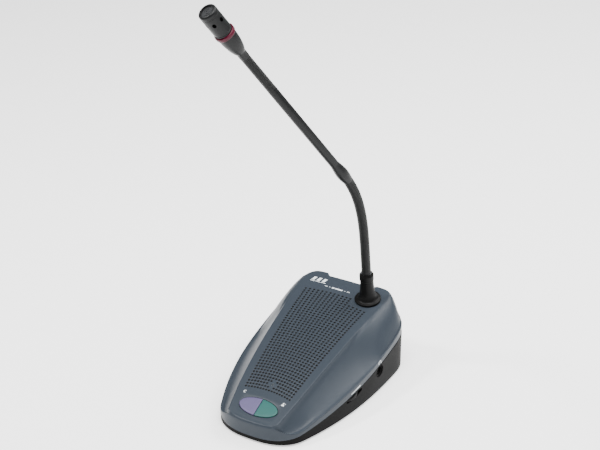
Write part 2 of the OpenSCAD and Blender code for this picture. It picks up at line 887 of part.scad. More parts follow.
module light_ring() {
    color([0.75, 0.1, 0.25]) at_head() translate([0, 0, ring_z]) difference() {
        cylinder(h = ring_h, r = ring_r);
        translate([0, 0, -1]) cylinder(h = ring_h + 2, r = 6.6);
    }
}

module ring_board() {
    color([0.1, 0.35, 0.2]) at_head() translate([0, 0, 28]) difference() {
        cylinder(h = 1, r = 6.3);
        translate([0, 0, -1]) cylinder(h = 3, r = 2);
    }
}

module ring_leds() {
    color([0.9, 0.85, 0.8]) at_head() for (a = [0 : 60 : 300]) rotate([0, 0, a])
        translate([3.6, -0.8, 29]) cube([2, 1.6, 1.6]);
}

module capsule_housing() {
    color([0.13, 0.13, 0.13]) at_head() difference() {
        rotate_extrude() polygon(concat([[6.6, house_z], [head_r, house_z]],
            [for (t = [0 : 15 : 90]) [head_r - 1 + cos(t), head_end - 1 + sin(t)]],
            [[6.2, head_end], [6.2, head_end - 1.2], [6.9, head_end - 1.2], [6.9, house_z + 2],
             [6.6, house_z + 2]]));
        for (a = [30 : 60 : 330]) rotate([0, 0, a]) translate([5, -1.5, house_z + 12.5]) cube([6, 3, 4]);
    }
}

module capsule() {
    color([0.72, 0.72, 0.7]) at_head() translate([0, 0, 42]) cylinder(h = 6.5, r = 4.85);
}

module capsule_foam() {
    color([0.08, 0.08, 0.08]) at_head() difference() {
        translate([0, 0, 40.5]) cylinder(h = head_end - 43.5, r = 6.85);
        translate([0, 0, 40]) cylinder(h = 8.5, r = 4.87);
    }
}

module capsule_grille() {
    color([0.3, 0.3, 0.31]) at_head() translate([0, 0, head_end - 2.7]) difference() {
        cylinder(h = 1.2, r = 6.85);
        for (ring = [1 : 3]) for (k = [0 : 6 * ring - 1]) rotate([0, 0, 60 * k / ring])
            translate([1.8 * ring, 0, -1]) cylinder(h = 4, r = 0.55);
        translate([0, 0, -1]) cylinder(h = 4, r = 0.55);
    }
}

module capsule_board() {
    color([0.1, 0.35, 0.2]) at_head() translate([0, 0, 39]) difference() {
        cylinder(h = 1.2, r = 6.5);
        translate([0, 0, -1]) cylinder(h = 4, r = 1);
    }
}

top_cover();
bottom_tray();
ballast_plate();
rubber_feet();
case_screws();
speaker_basket();
speaker_magnet();
speaker_cone();
speaker_surround();
speaker_screws();
grille_cloth();
main_board();
main_board_parts();
board_screws();
button_board();
talk_switch();
priority_switch();
talk_plunger();
priority_plunger();
talk_button();
priority_button();
status_led();
volume_board();
volume_pot();
volume_shaft();
volume_wheel();
headphone_jack();
jack_collar();
link_socket_in();
link_socket_out();
neck_boot();
neck_stub();
neck_washer();
neck_nut();
neck_link_1();
neck_link_2();
neck_link_3();
neck_link_4();
neck_link_5();
neck_link_6();
neck_link_7();
neck_link_8();
neck_coupler();
neck_tube();
tube_lead();
head_link_1();
head_link_2();
head_link_3();
head_link_4();
head_cone();
light_ring();
ring_board();
ring_leds();
capsule_housing();
capsule();
capsule_foam();
capsule_grille();
capsule_board();
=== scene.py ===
import json
import math
import bpy
import bmesh
import numpy as np
from mathutils import Matrix


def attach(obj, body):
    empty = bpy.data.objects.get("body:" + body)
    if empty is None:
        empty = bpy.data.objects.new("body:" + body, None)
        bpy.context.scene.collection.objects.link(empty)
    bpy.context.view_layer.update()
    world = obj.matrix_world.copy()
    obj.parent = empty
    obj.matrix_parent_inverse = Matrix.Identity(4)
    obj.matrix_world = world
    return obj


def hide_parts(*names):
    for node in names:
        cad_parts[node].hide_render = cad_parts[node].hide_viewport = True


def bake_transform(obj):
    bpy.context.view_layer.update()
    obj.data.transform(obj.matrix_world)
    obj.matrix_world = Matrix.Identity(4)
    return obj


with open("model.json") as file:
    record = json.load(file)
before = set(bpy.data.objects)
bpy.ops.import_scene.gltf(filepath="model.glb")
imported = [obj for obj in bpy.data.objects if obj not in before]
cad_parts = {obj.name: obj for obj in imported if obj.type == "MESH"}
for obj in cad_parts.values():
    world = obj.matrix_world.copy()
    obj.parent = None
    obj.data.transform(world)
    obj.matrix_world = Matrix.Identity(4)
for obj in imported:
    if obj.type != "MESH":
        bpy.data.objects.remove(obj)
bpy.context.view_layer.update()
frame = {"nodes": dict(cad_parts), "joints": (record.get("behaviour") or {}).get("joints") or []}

JOINTS = {j["name"]: j for j in frame["joints"]}

# ---------------------------------------------------------------- shape of the base, millimetres
# Y0 and Y1 are the front and back, W2 half the width at WIDE_Y. The panel is an arc of radius ARCH_R from
# FRONT_H to REAR_H, with its middle at ARCH_Y, ARCH_Z and a slight fall to the sides, CROWN.
# The parting line rises from PART_F to PART_R. FOOT is the height of the rubber feet.
Y0, Y1 = -95.0, 95.0
W2, WIDE_Y = 63.6, 50.0
FRONT_H, REAR_H, ARCH_R = 19.5, 70.5, 622.0
PART_F, PART_R = 5.5, 40.0
FOOT = 1.5
CHORD = math.hypot(Y1 - Y0, REAR_H - FRONT_H)
RISE = math.atan2(REAR_H - FRONT_H, Y1 - Y0)
ARCH_H = math.sqrt(ARCH_R ** 2 - (CHORD / 2) ** 2)
ARCH_Y = ARCH_H * math.sin(RISE)
ARCH_Z = (FRONT_H + REAR_H) / 2 - ARCH_H * math.cos(RISE)
CROWN = 0.0006


def smooth(t):
    t = min(1.0, max(0.0, t))
    return t * t * (3 - 2 * t)


def panel(x, y):
    return ARCH_Z + math.sqrt(ARCH_R ** 2 - (y - ARCH_Y) ** 2) - CROWN * x * x


def panel_tilt(y):
    return math.asin((ARCH_Y - y) / ARCH_R)


def part_z(y):
    return PART_F + (PART_R - PART_F) * (y - Y0) / (Y1 - Y0)


def side_w(y):
    return W2 - 0.000313 * abs(WIDE_Y - y) ** 2.3


def plateau_w(y):
    t = y + 92
    return 25.4 + 0.157 * t - 0.00032 * t * t


def outline(q=0.0, corner=23.0, power=2.7, rear=5.0, n=60):
    """Half of the plan, from the middle of the front round to the middle of the back."""
    pts = []
    yc = Y0 + corner
    for i in range(n + 1):
        t = math.pi / 2 * i / n
        y = yc - (corner - q) * math.cos(t) ** (2 / power)
        pts.append(((side_w(y) - q) * math.sin(t) ** (2 / power), y))
    for i in range(1, n + 1):
        y = yc + (WIDE_Y - yc) * i / n
        pts.append((side_w(y) - q, y))
    for i in range(n - 1, -1, -1):
        t = math.pi / 2 * i / n
        y = WIDE_Y + (Y1 - q - WIDE_Y) * math.cos(t) ** (2 / rear)
        pts.append(((side_w(y) - q) * math.sin(t) ** (2 / rear), y))
    return np.array(pts)


def bay(x, y):
    """The shallow bay between the two rear corners."""
    depth = 4.0 * (1 - smooth((abs(x) - 22.5) / 4.5))
    return min(y, Y1 - depth)


# ---------------------------------------------------------------- mesh helpers
def linear(c):
    return tuple((v / 12.92 if v <= 0.04045 else ((v + 0.055) / 1.055) ** 2.4) for v in c)


def srgb(r, g, b):
    return linear((r / 255, g / 255, b / 255)) + (1.0,)


def mesh(name, verts, faces, material, crease=35, mats=None, ids=None):
    """One object from points in millimetres, smooth except at edges sharper than crease degrees."""
    name = name.replace(" ", "_")
    me = bpy.data.meshes.new(name)
    points = [tuple(float(c) / 1000 for c in v) for v in verts]
    me.from_pydata(points, [], [list(map(int, f)) for f in faces])
    ob = bpy.data.objects.new(name, me)
    bpy.context.scene.collection.objects.link(ob)
    for m in (mats or [material]):
        me.materials.append(m)
    if ids is not None:
        me.polygons.foreach_set("material_index", ids)
    bm = bmesh.new()
    bm.from_mesh(me)
    bmesh.ops.recalc_face_normals(bm, faces=bm.faces)
    bm.to_mesh(me)
    bm.free()
    me.polygons.foreach_set("use_smooth", [True] * len(me.polygons))
    me.set_sharp_from_angle(angle=math.radians(crease))
    me.update()
    return ob


def place(points, matrix):
    p = np.array(points, float)
    return p @ matrix[:3, :3].T + matrix[:3, 3]


def frame_at(origin, rotation):
    m = np.eye(4)
    m[:3, :3] = rotation
    m[:3, 3] = origin
    return m


def rot_x(a):
    c, s = math.cos(a), math.sin(a)
    return np.array([[1, 0, 0], [0, c, -s], [0, s, c]])


def rot_z(a):
    c, s = math.cos(a), math.sin(a)
    return np.array([[c, -s, 0], [s, c, 0], [0, 0, 1]])


def lathe(profile, n=64):
    """A surface turned about Z. Points with radius 0 close it."""
    verts, faces, rows = [], [], []
    for r, z in profile:
        if r < 1e-6:
            rows.append([len(verts)] * n)
            verts.append((0, 0, z))
        else:
            rows.append(list(range(len(verts), len(verts) + n)))
            for k in range(n):
                a = 2 * math.pi * k / n
                verts.append((r * math.cos(a), r * math.sin(a), z))
    for a, b in zip(rows, rows[1:]):
        for k in range(n):
            q = [a[k], a[(k + 1) % n], b[(k + 1) % n], b[k]]
            q = [v for i, v in enumerate(q) if v not in q[:i]]
            if len(q) >= 3:
                faces.append(q)
    return verts, faces


def lathed(name, profile, m, material, n=64, crease=35):
    v, f = lathe(profile, n)
    return mesh(name, place(v, m), f, material, crease)


def box_points(x0, x1, y0, y1, z0, z1):
    v = [(x, y, z) for z in (z0, z1) for y in (y0, y1) for x in (x0, x1)]
    f = [(0, 2, 3, 1), (4, 5, 7, 6), (0, 1, 5, 4), (2, 6, 7, 3), (0, 4, 6, 2), (1, 3, 7, 5)]
    return v, f


def prism(outline_pts, z0, z1):
    n = len(outline_pts)
    v = [(x, y, z) for z in (z0, z1) for x, y in outline_pts]
    f = [tuple(range(n - 1, -1, -1)), tuple(range(n, 2 * n))]
    f += [(i, (i + 1) % n, n + (i + 1) % n, n + i) for i in range(n)]
    return v, f


def join(parts):
    verts, faces = [], []
    for v, f in parts:
        o = len(verts)
        verts += list(map(tuple, v))
        faces += [[i + o for i in q] for q in f]
    return verts, faces


def cut(ob, cutters):
    """Takes the cutters out of ob for good."""
    for c in cutters:
        mod = ob.modifiers.new("cut", "BOOLEAN")
        mod.operation = "DIFFERENCE"
        mod.solver = "EXACT"
        mod.object = c
        bpy.context.view_layer.objects.active = ob
        bpy.ops.object.modifier_apply(modifier=mod.name)
        bpy.data.objects.remove(c)
    return ob


# ---------------------------------------------------------------- materials
# Scale of the slow drift, per metre, and depth of the grain in metres.
DRIFT_SCALE, GRAIN_DEPTH = 28.0, 0.0001


def material(name, colour, rough=0.5, vary=0.06, grain=0.0, grain_scale=1500.0, tint=0.06, metallic=0.0,
             specular=0.5, emission=None, strength=0.0):
    """A moulded or coated surface. Its colour and its roughness drift over a few centimetres, by tint and
    vary, and a fine grain is in the bump."""
    m = bpy.data.materials.new(name)
    m.use_nodes = True
    t = m.node_tree
    b = t.nodes["Principled BSDF"]
    geo = t.nodes.new("ShaderNodeTexCoord")
    big = t.nodes.new("ShaderNodeTexNoise")
    big.inputs["Scale"].default_value = DRIFT_SCALE
    big.inputs["Detail"].default_value = 4.0
    t.links.new(geo.outputs["Object"], big.inputs["Vector"])
    mix = t.nodes.new("ShaderNodeMix")
    mix.data_type = "RGBA"
    mix.inputs["A"].default_value = tuple(c * (1 - tint) for c in colour[:3]) + (1.0,)
    mix.inputs["B"].default_value = tuple(min(1.0, c * (1 + tint)) for c in colour[:3]) + (1.0,)
    t.links.new(big.outputs["Fac"], mix.inputs["Factor"])
    t.links.new(mix.outputs["Result"], b.inputs["Base Color"])
    ramp = t.nodes.new("ShaderNodeMapRange")
    ramp.inputs["To Min"].default_value = max(0.02, rough - vary)
    ramp.inputs["To Max"].default_value = min(1.0, rough + vary)
    t.links.new(big.outputs["Fac"], ramp.inputs["Value"])
    t.links.new(ramp.outputs["Result"], b.inputs["Roughness"])
    if grain > 0:
        fine = t.nodes.new("ShaderNodeTexNoise")
        fine.inputs["Scale"].default_value = grain_scale
        fine.inputs["Detail"].default_value = 3.0
        t.links.new(geo.outputs["Object"], fine.inputs["Vector"])
        bump = t.nodes.new("ShaderNodeBump")
        bump.inputs["Strength"].default_value = grain
        bump.inputs["Distance"].default_value = GRAIN_DEPTH
        t.links.new(fine.outputs["Fac"], bump.inputs["Height"])
        t.links.new(bump.outputs["Normal"], b.inputs["Normal"])
    b.inputs["Metallic"].default_value = metallic
    b.inputs["Specular IOR Level"].default_value = specular
    if emission:
        b.inputs["Emission Color"].default_value = emission
        b.inputs["Emission Strength"].default_value = strength
    return m


M = {}
M["cover"] = material("cover grey", srgb(43, 49, 56), 0.36, 0.05, 0.35, 2600, 0.03, specular=0.16)
M["tray"] = material("tray grey", srgb(10, 10, 10), 0.55, 0.05, 0.5, 1800, 0.05, specular=0.05)
M["black"] = material("black plastic", srgb(7, 7, 7), 0.42, 0.06, 0.25, 2200, 0.08, specular=0.1)
M["neck"] = material("neck coat", srgb(12, 13, 14), 0.38, 0.05, 0.35, 3200, 0.06, specular=0.18)
M["flex"] = material("flexible neck", srgb(10, 11, 11), 0.4, 0.06, 0.3, 2600, 0.08, specular=0.18)
M["purple"] = material("purple button", srgb(76, 70, 100), 0.42, 0.05, 0.3, 2400, 0.03, specular=0.25)
M["teal"] = material("teal button", srgb(30, 76, 72), 0.42, 0.05, 0.3, 2400, 0.04, specular=0.25)
# Near-black, for the walls of the grille holes and of the button well: painted shade
M["gap"] = material("shadow gap", srgb(4, 5, 6), 0.6, 0.05, 0.2, 2000, 0.1)
# Near-black without specular: painted shade for the vent openings, laid on the head's housing
M["void"] = material("painted vent shade", srgb(1, 1, 1), 0.95, 0.02, 0.2, 2000, 0.05, specular=0.0)
M["ring"] = material("crimson ring", srgb(66, 1, 25), 0.3, 0.04, 0.0, 1500, 0.1, specular=0.2,
                     emission=srgb(150, 8, 44), strength=0.01)
M["ink"] = material("pale ink", srgb(205, 210, 212), 0.5, 0.05, 0.1, 2500, 0.03)
M["steel"] = material("zinc steel", srgb(176, 178, 182), 0.32, 0.08, 0.3, 900, 0.05, metallic=1.0)
M["ferrite"] = material("ferrite", srgb(58, 58, 60), 0.6, 0.1, 0.6, 1400, 0.12)
M["paper"] = material("paper cone", srgb(38, 38, 40), 0.8, 0.1, 0.8, 900, 0.15)
M["rubber"] = material("rubber", srgb(30, 30, 31), 0.7, 0.08, 0.5, 1500, 0.1)
M["cloth"] = material("speaker cloth", srgb(6, 6, 7), 0.9, 0.05, 0.9, 2200, 0.2, specular=0.1)
M["board"] = material("circuit board", srgb(22, 84, 52), 0.4, 0.08, 0.25, 700, 0.18)
M["chip"] = material("moulded part", srgb(26, 26, 28), 0.4, 0.08, 0.3, 1600, 0.12)
M["white"] = material("white plastic", srgb(214, 214, 208), 0.45, 0.05, 0.2, 1800, 0.03)
M["led"] = material("clear lens", srgb(214, 196, 190), 0.15, 0.03, 0.0, 1500, 0.05)
M["led_dark"] = material("indicator", srgb(40, 46, 50), 0.2, 0.03, 0.0, 1500, 0.1)
M["lead"] = material("lead jacket", srgb(128, 40, 38), 0.6, 0.06, 0.3, 1500, 0.08)
M["foam"] = material("foam", srgb(20, 20, 21), 0.95, 0.04, 1.0, 1300, 0.3)
M["capsule"] = material("capsule metal", srgb(182, 182, 178), 0.3, 0.06, 0.3, 1500, 0.05, metallic=1.0)
M["mesh"] = material("head grille", srgb(36, 37, 39), 0.4, 0.06, 0.3, 2400, 0.1, metallic=0.4)

# Nodes of the CAD by material. Those that a finer piece below replaces are not seen.
LINKS = [f"neck_link_{i}" for i in range(1, 9)] + [f"head_link_{i}" for i in range(1, 5)]
CAD_LOOK = {
    "steel": "ballast_plate case_screws speaker_screws board_screws neck_stub neck_washer neck_nut "
             "volume_shaft",
    "rubber": "rubber_feet speaker_surround",
    "chip": "speaker_basket main_board_parts talk_switch priority_switch volume_pot headphone_jack "
            "link_socket_in link_socket_out",
    "ferrite": "speaker_magnet",
    "paper": "speaker_cone",
    "cloth": "grille_cloth",
    "board": "main_board button_board volume_board ring_board capsule_board",
    "white": "talk_plunger priority_plunger",
    "led": "status_led ring_leds",
    "lead": "tube_lead",
    "capsule": "capsule",
    "foam": "capsule_foam",
    "black": "volume_wheel jack_collar neck_boot neck_coupler",
    "neck": "neck_tube head_cone capsule_housing",
    "flex": " ".join(LINKS),
    "cover": "top_cover",
    "tray": "bottom_tray",
    "purple": "priority_button",
    "teal": "talk_button",
    "ring": "light_ring",
    "mesh": "capsule_grille",
}
for look, names in CAD_LOOK.items():
    for n in names.split():
        ob = frame["nodes"][n]
        ob.data.materials.clear()
        ob.data.materials.append(M[look])
        ob.data.polygons.foreach_set("use_smooth", [True] * len(ob.data.polygons))
        ob.data.set_sharp_from_angle(angle=math.radians(30))

# ---------------------------------------------------------------- the raised panel, with its holes
# Rows of holes PITCH apart, from GY on. Half the grille is GF wide at the front and GR at the back.
ROWS, COLS, PITCH, HOLE = 41, 17, 3.2, 1.15
MID_COL, EDGE_COL = COLS // 2, COLS / 2
SIDES = 12
GY, GF, GR = -63.0, 22.8, 34.5
DEPTH = (ROWS - 1) * PITCH
# Each row bows back by BOW. No holes in the corner by the neck, nor in the diamond about the indicator.
BOW, NOTCH_ROWS, NOTCH_COL, DIAMOND = 2.2, 3, 4, 5.2
LED_Y, LED_HOLE = -54.0, 1.0
# Half sizes of the oval well of the buttons.
BUTTON_Y, BA, BB = -79.2, 19.6, 9.4
# Mesh steps before and behind the grille, and beside it.
FRONT_ROWS, REAR_ROWS, EXTRA = 30, 26, 7


def grille_w(y):
    return GF + (GR - GF) * (y - GY) / DEPTH


def hole_at(r, c):
    y = GY + r * PITCH
    k = c / MID_COL
    return k * grille_w(y), y + BOW * (1 - k * k)


def hole_kept(r, c):
    x, y = hole_at(r, c)
    return not (r >= ROWS - NOTCH_ROWS and c >= NOTCH_COL) and abs(x) + abs(y - LED_Y) > DIAMOND


def crease_y(x):
    """The panel's front edge."""
    return Y0 + 2.6 + 0.0036 * x * x + 0.06 * max(0.0, abs(x) - 20.0) ** 2


def rear_y(x):
    """The panel's back edge, round at the corners and drawn in at the bay."""
    t = min(1.0, max(0.0, (abs(x) - 33.5) / 10.0))
    return bay(x, Y1 - 11.0 * (1 - (1 - t ** 2.2) ** (1 / 2.2)))


cols = [-EDGE_COL - e / EXTRA for e in range(EXTRA, 0, -1)]
cols += [-EDGE_COL + i / 3 for i in range(3 * COLS + 1)]
cols += [EDGE_COL + e / EXTRA for e in range(1, EXTRA + 1)]
rows = [("f", i / FRONT_ROWS) for i in range(FRONT_ROWS)]
rows += [("m", -0.5 + j / 3) for j in range(3 * ROWS + 1)]
rows += [("r", i / REAR_ROWS) for i in range(1, REAR_ROWS + 1)]


def column_xy(c, r):
    """A point of the middle zone, row r, at column c, out to the panel's edge."""
    if abs(c) <= EDGE_COL:
        return hole_at(r, c)
    x0, y0 = hole_at(r, EDGE_COL)
    t = abs(c) - EDGE_COL
    return math.copysign(x0 + (plateau_w(y0) - x0) * t, c), y0


def grid_xy(c, row):
    """A point of the panel: f rows lie before the grille, m rows along it and r rows behind it."""
    kind, v = row
    if kind == "m":
        return column_xy(c, v)
    if kind == "f":
        x1, y1 = column_xy(c, -0.5)
        x0 = x1 * 25.0 / plateau_w(y1)
        y0 = crease_y(x0)
        return x0 * (1 - v) + x1 * v, y0 + (y1 - y0) * v
    x1, y1 = column_xy(c, ROWS - 0.5)
    x2 = x1 * plateau_w(93) / plateau_w(y1)
    y2 = rear_y(x2)
    return x1 + (x2 - x1) * v, y1 + (y2 - y1) * v


NC, NR = len(cols), len(rows)
verts, grid = [], {}
for j, row in enumerate(rows):
    for i, c in enumerate(cols):
        x, y = grid_xy(c, row)
        grid[i, j] = len(verts)
        verts.append((x, y, panel(x, y)))

faces, dark = [], []
skip = set()
first_row = FRONT_ROWS
first_col = EXTRA
# Holes of the grille. Each is three mesh steps square, with the hole's own rings inside.
for r in range(ROWS):
    for ci in range(COLS):
        c = ci - MID_COL
        hole, led = hole_kept(r, c), False
        if c == 0 and abs(hole_at(r, 0)[1] - LED_Y) < PITCH / 2:
            hole, led = True, True
        if not hole:
            continue
        i0, j0 = first_col + 3 * ci, first_row + 3 * r
        ring = [(i0 + k, j0) for k in range(3)] + [(i0 + 3, j0 + k) for k in range(3)] + \
            [(i0 + 3 - k, j0 + 3) for k in range(3)] + [(i0, j0 + 3 - k) for k in range(3)]
        outer = [grid[p] for p in ring]
        for di in range(3):
            for dj in range(3):
                skip.add((i0 + di, j0 + dj))
        hx, hy = hole_at(r, c)
        rad = LED_HOLE if led else HOLE * (0.95 if r < 2 else 1.0)
        tilt = panel_tilt(hy)
        loops = [outer]
        walls = len(faces) + 2 * SIDES
        for dr, dz in ((0.1, 0.0), (0.0, -0.1), (0.0, -1.7)):
            loop = []
            for k in range(SIDES):
                a = math.radians(-135 + 30 * k)
                px = hx + (rad + dr) * math.cos(a)
                py = hy + (rad + dr) * math.sin(a) * math.cos(tilt)
                loop.append(len(verts))
                verts.append((px, py + dz * math.sin(tilt), panel(px, py) + dz))
            loops.append(loop)
        for a, b in zip(loops, loops[1:]):
            faces += [(a[k], a[(k + 1) % SIDES], b[(k + 1) % SIDES], b[k]) for k in range(SIDES)]
        # the hole's wall gets the shadow gap material: painted shade inside the hole
        dark += range(walls, walls + SIDES)


# the well of the buttons
def seek(values, target):
    return min(range(len(values)), key=lambda k: abs(values[k] - target))


mid = NC // 2
half = max(k for k in range(1, mid) if abs(verts[grid[mid + k - 1, first_row // 2]][0]) < BA + 1.3)
ys = [verts[grid[mid, j]][1] for j in range(FRONT_ROWS)]
j_lo, j_hi = seek(ys, BUTTON_Y - BB * 0.92 - 1.3), seek(ys, BUTTON_Y + BB * 0.92 + 2.0)
ring = [(mid - half + k, j_lo) for k in range(2 * half)] + \
    [(mid + half, j_lo + k) for k in range(j_hi - j_lo)] + \
    [(mid + half - k, j_hi) for k in range(2 * half)] + \
    [(mid - half, j_hi - k) for k in range(j_hi - j_lo)]
for i in range(mid - half, mid + half):
    for j in range(j_lo, j_hi):
        skip.add((i, j))
B_TILT = panel_tilt(BUTTON_Y)
BUTTON = frame_at((0, BUTTON_Y, panel(0, BUTTON_Y)), rot_x(B_TILT))
outer = [grid[p] for p in ring]
loops = [outer]
angles = []
for v in outer:
    x, y = verts[v][:2]
    angles.append(math.atan2((y - BUTTON_Y) / math.cos(B_TILT) / BB, x / BA))
for grow, dz in ((0.35, 0.0), (0.12, -0.1), (0.0, -0.35), (0.0, -3.2)):
    loop = []
    for a in angles:
        x, y = (BA + grow) * math.cos(a), BUTTON_Y + (BB + grow) * math.sin(a) * math.cos(B_TILT)
        loop.append(len(verts))
        verts.append((x, y - math.sin(B_TILT) * dz, panel(x, y) + dz * math.cos(B_TILT)))
    loops.append(loop)
n = len(outer)
for a, b in zip(loops, loops[1:]):
    faces += [(a[k], a[(k + 1) % n], b[(k + 1) % n], b[k]) for k in range(n)]
# the well's wall gets it too: painted shade round the buttons
dark += range(len(faces) - n, len(faces))
for j in range(NR - 1):
    for i in range(NC - 1):
        if (i, j) not in skip:
            faces.append((grid[i, j], grid[i + 1, j], grid[i + 1, j + 1], grid[i, j + 1]))

# ---------------------------------------------------------------- the flank, the scooped sides and the lip
# The right half of the panel's edge, the half plan, and which point of one goes with which of the other.
edge = [(i, 0) for i in range(mid, NC)] + [(NC - 1, j) for j in range(1, NR)] + \
    [(i, NR - 1) for i in range(NC - 2, mid - 1, -1)]
P = np.array([verts[grid[p]][:2] for p in edge])
O = outline()
for k, (x, y) in enumerate(O):
    O[k][1] = bay(x, y)


def arclen(p):
    return np.concatenate([[0], np.cumsum(np.linalg.norm(np.diff(p, axis=0), axis=1))])


sp, so = arclen(P), arclen(O)


def station(p, s, key):
    return s[int(np.argmin([key(q) for q in p]))]


def near(x, y):
    return lambda q: (q[0] - x) ** 2 + (q[1] - y) ** 2


pairs = [((0, -95), (0, -95)), ((16, -94), (14.5, -94)), ((24.8, -91), (29, -88.5)), ((25.6, -86), (36.5, -82)),
         ((26.6, -79), (40.6, -75)), ((28.3, -70), (43.5, -68)), ((plateau_w(-55), -55), (side_w(-55), -55)),
         ((plateau_w(68), 68), (side_w(66), 66)), ((43.5, 84), (59.5, 82)), ((41.5, 90.2), (53, 89.5)),
         ((37.5, 94.2), (42, 93.8)), ((32, 95), (32, 95)), ((0, 91), (0, 91))]
kp = [station(P, sp, near(*a)) for a, b in pairs]
ko = [station(O, so, near(*b)) for a, b in pairs]
so_of = np.interp(sp, kp, ko)
L = np.stack([np.interp(so_of, so, O[:, 0]), np.interp(so_of, so, O[:, 1])], 1)


def lip_height(x, y, zp):
    side = 9.1 + 0.2177 * (y + 98) - 1.2 * smooth((-58 - y) / 16) \
        - 3.2 * smooth((y + 45) / 95) * smooth((98 - y) / 45)
    if y > 60:
        k = smooth((y - 80) / 14) * (1 - smooth((x - 39) / 17))
        return side + (zp - 1.2 - side) * k
    if y < -60:
        return side + (zp - 1.6 - side) * (1 - smooth((x - 20) / 24))
    return side


def skirt(px, py, zp, lx, ly):
    """Points of the section from the panel's edge to the parting line: (share of the way out, z).
    First the rounded edge, then the steep flank, the scooped side, the lip and the upright band. Towards
    the back the scoop gives way to one soft slope, and in the middle of the front to a quarter round."""
    w = max(1e-6, math.hypot(lx - px, ly - py))
    zl = lip_height(lx, ly, zp)
    f = smooth((w - 2.0) / 7.0)
    r = min(0.9 + 2.4 * smooth((py - 20) / 55), 0.45 * w)
    out = []
    for a in (20, 45, 70):
        out.append((r * math.sin(math.radians(a)), zp - r * 0.9 * (1 - math.cos(math.radians(a)))))
    drop = zp - zl
    back = smooth((py - 10) / 55)
    fade = 1 - 0.92 * back
    hf = f * min(6.2 * fade, 0.6 * drop) + (1 - f) * 0.45 * drop
    df = r + f * min(2.6, 0.2 * w) + (1 - f) * 0.2 * w
    z0 = out[-1][1]
    zf = min(z0 - 0.05, zp - hf)
    for t in (0.25, 0.5, 0.75):
        out.append((r + (df - r) * t ** 1.5, z0 + (zf - z0) * t))
    ledge = f * (2.2 * (1 - smooth((ly + 84) / 34)) + 0.5)
    end = max(df + 0.3 * (w - df), w - ledge - 0.8)
    dip = zl - 0.35 * f * (1 - smooth((ly + 84) / 34))
    for t in (0.0, 0.06, 0.14, 0.24, 0.35, 0.47, 0.6, 0.73, 0.86, 0.94, 1.0):
        k = (1 - t) ** (1.55 - 0.45 * back)
        out.append((df + (end - df) * t, dip + (zf - dip) * k))
    soft_r = min(20.0, 0.85 * end)
    for i, (d, z) in enumerate(out):
        run = d * d / (2 * soft_r) if d < soft_r else d - soft_r / 2
        soft = zp - (zp - dip) * run / (end - soft_r / 2)
        out[i] = (d, z + (soft - z) * back * f)
    out.append((end + (w - end) * 0.25, dip + (zl - dip) * 0.5))
    rl = min(0.8, 0.5 * (w - end))
    out.append((w - rl, zl))
    for a in (30, 60, 90):
        out.append((w - rl * (1 - math.sin(math.radians(a))), zl - rl * (1 - math.cos(math.radians(a)))))
    g = (1 - smooth((lx - 15) / 13)) * (1 - smooth((ly + 80) / 10))
    last = len(out) - 1
    for i, (d, z) in enumerate(out):
        a = math.radians(90 * i / last)
        out[i] = (d + (w * math.sin(a) - d) * g, z + (zp - 3.2 * (1 - math.cos(a)) - z) * g)
    low, top = part_z(ly), out[-1][1]
    for t in (0.2, 0.45, 0.7, 0.9, 1.0):
        out.append((w, top + (low + 0.25 - top) * t))
    out.append((w - 0.25, low + 0.02))
    out.append((w - 2.2, low + 0.02))
    return [(d / w, z) for d, z in out]


def skirt_row(k, side):
    px, py = P[k]
    lx, ly = L[k]
    zp = panel(px, py)
    return [(side * (px + (lx - px) * t), py + (ly - py) * t, z) for t, z in skirt(px, py, zp, lx, ly)]


right = [skirt_row(k, 1) for k in range(len(edge))]
left = [skirt_row(k, -1) for k in range(len(edge))]
loop_p = [grid[p] for p in edge] + [grid[NC - 1 - i, j] for i, j in reversed(edge[1:-1])]
loop_rows = right + [left[k] for k in range(len(edge) - 2, 0, -1)]
depth = len(right[0])
base_index = len(verts)
for row in loop_rows:
    verts += row
n = len(loop_p)
for k in range(n):
    k2 = (k + 1) % n
    a = [loop_p[k]] + [base_index + k * depth + d for d in range(depth)]
    b = [loop_p[k2]] + [base_index + k2 * depth + d for d in range(depth)]
    faces += [(a[d], b[d], b[d + 1], a[d + 1]) for d in range(depth)]
look = np.zeros(len(faces), int)
look[dark] = 1
cover = mesh("cover", verts, faces, None, crease=38, mats=[M["cover"], M["gap"]], ids=look)
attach(cover, "base")
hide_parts("top_cover")

# ---------------------------------------------------------------- the lower shell
# The loop leaves out points closer than 0.6 mm, and nrm holds the way inwards at each point.
tray_outline = outline(0.3)
tray_outline[:, 0] *= 1 + 0.012 * (tray_outline[:, 1] - Y0) / 190
for k, (x, y) in enumerate(tray_outline):
    tray_outline[k][1] = bay(x, y)
keep = [0]
for k in range(1, len(tray_outline)):
    if np.linalg.norm(tray_outline[k] - tray_outline[keep[-1]]) > 0.6:
        keep.append(k)
half_pts = tray_outline[keep]
half_pts[0][0], half_pts[-1][0] = 0.0, 0.0
loop = [tuple(p) for p in half_pts] + [(-p[0], p[1]) for p in half_pts[::-1][1:-1]]
nrm = []
for k in range(len(loop)):
    a, b = np.array(loop[k - 1]), np.array(loop[(k + 1) % len(loop)])
    d = b - a
    d /= max(1e-9, np.linalg.norm(d))
    nrm.append((-d[1], d[0]))


def inset(q):
    return [(p[0] + m[0] * q, p[1] + m[1] * q) for p, m in zip(loop, nrm)]


